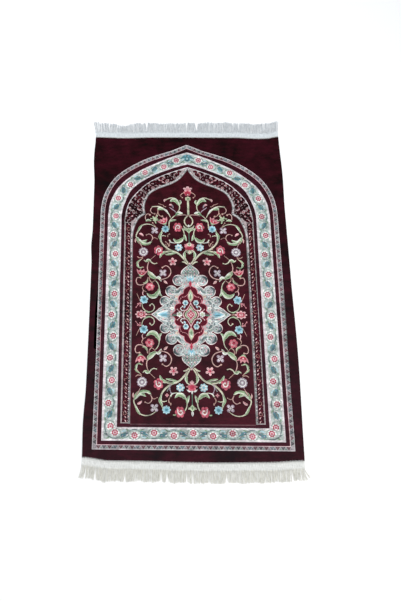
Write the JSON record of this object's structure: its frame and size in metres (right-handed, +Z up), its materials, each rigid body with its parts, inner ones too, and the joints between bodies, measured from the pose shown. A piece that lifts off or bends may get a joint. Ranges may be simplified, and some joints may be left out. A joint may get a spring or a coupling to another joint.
{
  "type": "prayer rug",
  "caption": "Flat rectangular prayer rug: a woven pile cloth with an arch, a medallion and flower borders, and a pale fringe trim sewn to each short end.",
  "frame": {"origin": "centre of the whole rug with its fringes, on the floor it lies on", "axes": "+Z up out of the pile, +Y along the rug towards the point of the arch, +X across it to the right as seen from the foot"},
  "size_m": [0.7242, 1.315, 0.003],
  "materials": {
    "cloth": "soft chenille jacquard, deep maroon ground with a pale blue-grey, green, rose and blue pattern",
    "fringe": "matt off-white twisted yarn, woven together along the seam"
  },
  "bodies": {
    "root": {"cloth": "cloth", "fringe_head": "fringe", "fringe_foot": "fringe"}
  },
  "joints": []
}
